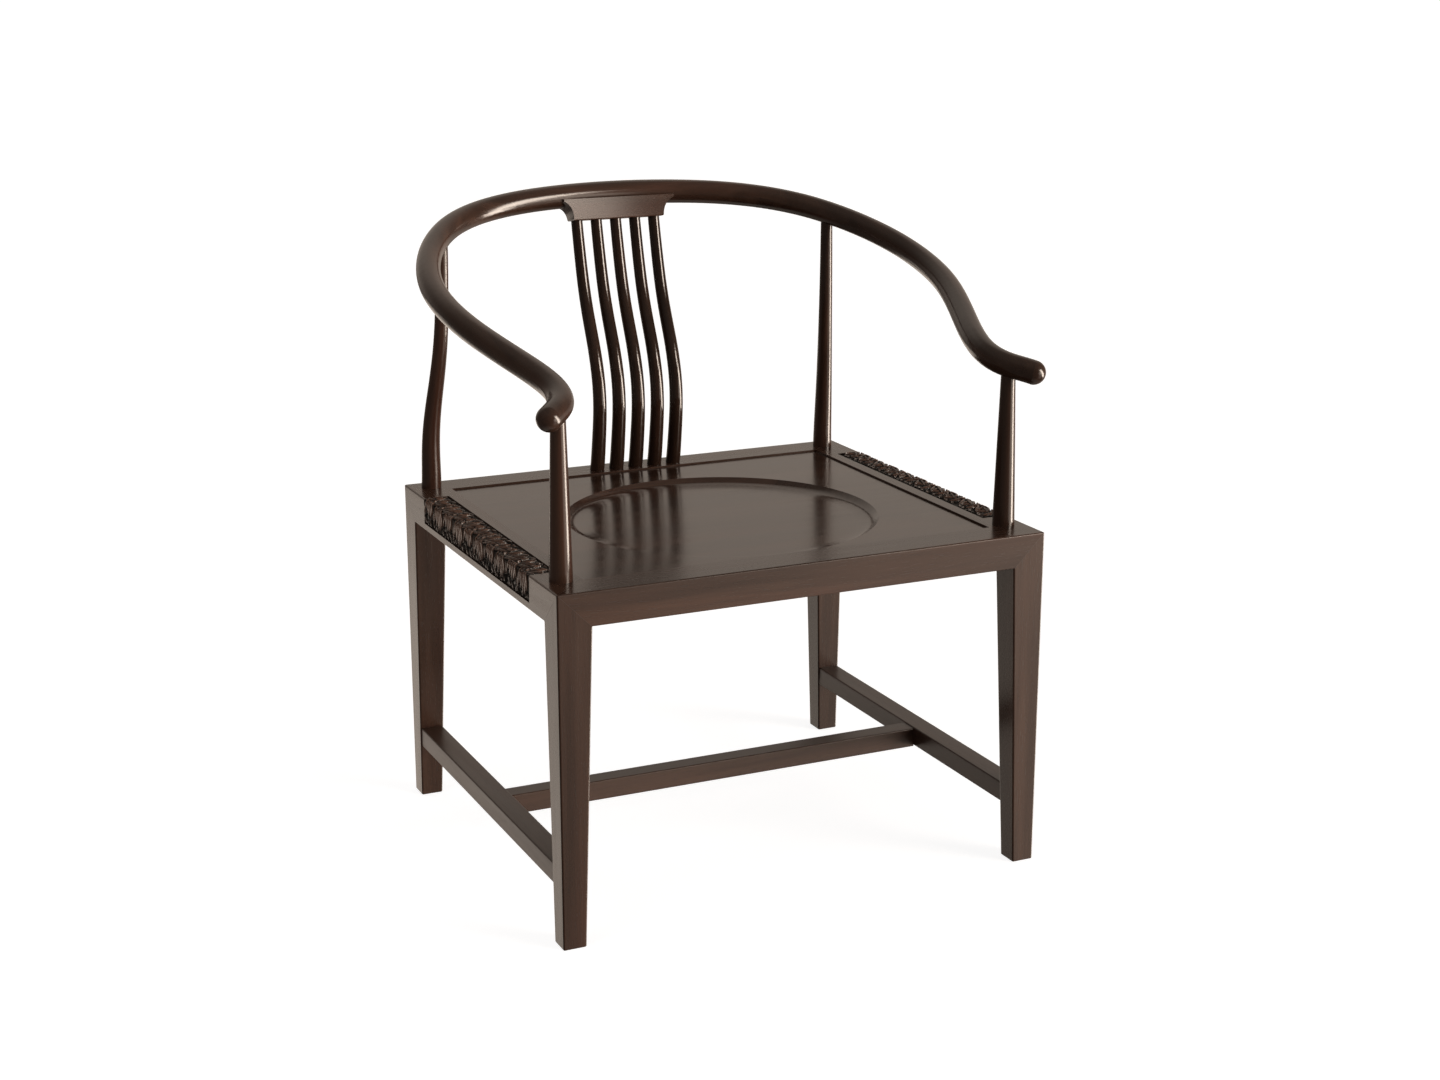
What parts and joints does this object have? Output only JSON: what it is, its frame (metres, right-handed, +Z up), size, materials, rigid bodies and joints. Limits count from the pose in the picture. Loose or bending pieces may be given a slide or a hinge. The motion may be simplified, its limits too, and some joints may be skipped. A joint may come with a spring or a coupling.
{
  "type": "horseshoe back armchair",
  "caption": "Dark stained wooden armchair with a horseshoe arm rail sloping to out-curled hands, a spindle back, a dished panel seat in a mitred frame, and tapered legs with stretchers.",
  "frame": {"origin": "on the floor, under the middle of the whole chair's box", "axes": "+X to the right as seen from in front of the chair, +Y to the back of the chair, +Z up from the floor; the sitter faces -Y"},
  "size_m": [0.73, 0.6405, 0.8416],
  "materials": {
    "frame_wood": "satin clear coat over dark stain",
    "rail_and_post_wood": "satin clear coat over dark stain",
    "panel_wood": "glossy satin clear coat over dark stain",
    "carving_wood": "satin clear coat over dark stain"
  },
  "bodies": {
    "root": {"leg_front_left": "frame_wood", "leg_front_right": "frame_wood", "leg_back_left": "frame_wood", "leg_back_right": "frame_wood", "seat_rail_front": "frame_wood", "seat_rail_back": "frame_wood", "seat_rail_left": "frame_wood", "seat_rail_right": "frame_wood", "side_stretcher_left": "frame_wood", "side_stretcher_right": "frame_wood", "cross_stretcher": "frame_wood", "front_post_left": "rail_and_post_wood", "front_post_right": "rail_and_post_wood", "rear_post_left": "rail_and_post_wood", "rear_post_right": "rail_and_post_wood", "spindle_1": "rail_and_post_wood", "spindle_2": "rail_and_post_wood", "spindle_3": "rail_and_post_wood", "spindle_4": "rail_and_post_wood", "spindle_5": "rail_and_post_wood", "head_block": "rail_and_post_wood", "crest_center": "rail_and_post_wood", "crest_arm_left": "rail_and_post_wood", "crest_arm_right": "rail_and_post_wood", "crest_scarf_pins": "rail_and_post_wood", "seat_panel": "panel_wood", "seat_batten_left": "panel_wood", "seat_batten_right": "panel_wood", "carved_panel_left": "carving_wood", "carved_panel_right": "carving_wood"}
  },
  "joints": []
}
